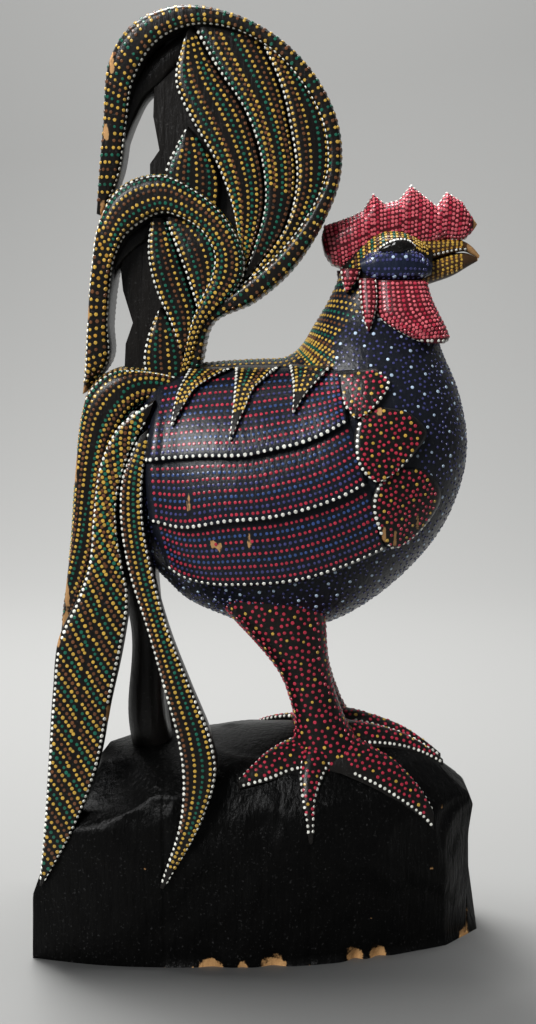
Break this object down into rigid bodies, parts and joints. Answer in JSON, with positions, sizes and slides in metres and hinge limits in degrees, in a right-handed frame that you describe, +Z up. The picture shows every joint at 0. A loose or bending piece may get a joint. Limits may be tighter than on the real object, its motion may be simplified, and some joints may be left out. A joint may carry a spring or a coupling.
{
  "type": "carved wooden rooster figure",
  "caption": "Standing carved wooden rooster with arched sickle tail feathers on a rock-shaped plinth, lacquered black and covered in raised paint dots.",
  "frame": {"origin": "middle of the plinth's underside, under the middle of the figure's length", "axes": "+X the way the beak points, +Z up, the rooster's right side towards -Y"},
  "size_m": [0.2455, 0.1262, 0.5002],
  "materials": {
    "plinth_black": "black lacquer, hand carved, worn to bare wood at the foot",
    "core_black": "black lacquer over carved wood",
    "bare_dowel": "bare turned hardwood",
    "tail_dots": "black lacquer with yellow, green, brown and white paint dots",
    "wing_dots": "black lacquer with rows of red, blue and indigo paint dots",
    "cape_dots": "black lacquer with yellow and green paint dots",
    "red_dots": "black lacquer with red rosettes round yellow paint dots",
    "breast_blue": "blue-black lacquer with indigo and pale blue paint dots",
    "neck_dots": "black lacquer with rows of yellow, green and brown paint dots",
    "comb_red": "dark red lacquer with dense rose-red paint dots",
    "beak_horn": "dark brown lacquer with yellow paint dots",
    "eye_black": "gloss black",
    "cheek_blue": "slate blue lacquer with pale paint dots",
    "ear_dots": "black lacquer with yellow and white paint dots"
  },
  "bodies": {
    "root": {"base_dowels": "bare_dowel", "base_front_block": "plinth_black", "base_middle_block": "plinth_black", "base_rear_block": "plinth_black", "body": "breast_blue", "breast": "breast_blue", "comb": "comb_red", "comb_pins": "bare_dowel", "great_sickle": "tail_dots", "head": "neck_dots", "left_cape_points": "cape_dots", "left_cheek": "cheek_blue", "left_drooping_feather": "tail_dots", "left_ear": "ear_dots", "left_eye": "eye_black", "left_fan_feather_1": "tail_dots", "left_fan_feather_2": "tail_dots", "left_fan_feather_3": "tail_dots", "left_foot": "red_dots", "left_inner_feathers": "tail_dots", "left_leg": "red_dots", "left_shoulder_scales": "red_dots", "left_small_fan_feather": "tail_dots", "left_trailing_feather": "tail_dots", "left_wattle": "comb_red", "left_wing_coverts": "wing_dots", "left_wing_primaries": "wing_dots", "left_wing_secondaries": "wing_dots", "leg_dowels": "bare_dowel", "lower_beak": "beak_horn", "lower_tail_core": "core_black", "right_cape_points": "cape_dots", "right_cheek": "cheek_blue", "right_drooping_feather": "tail_dots", "right_ear": "ear_dots", "right_eye": "eye_black", "right_fan_feather_1": "tail_dots", "right_fan_feather_2": "tail_dots", "right_fan_feather_3": "tail_dots", "right_foot": "red_dots", "right_inner_feathers": "tail_dots", "right_leg": "red_dots", "right_shoulder_scales": "red_dots", "right_small_fan_feather": "tail_dots", "right_trailing_feather": "tail_dots", "right_wattle": "comb_red", "right_wing_coverts": "wing_dots", "right_wing_primaries": "wing_dots", "right_wing_secondaries": "wing_dots", "second_sickle": "tail_dots", "tail_dowels": "bare_dowel", "tail_post": "core_black", "third_sickle": "tail_dots", "trunk_dowels": "bare_dowel", "upper_beak": "beak_horn", "upper_tail_core": "core_black"}
  },
  "joints": []
}
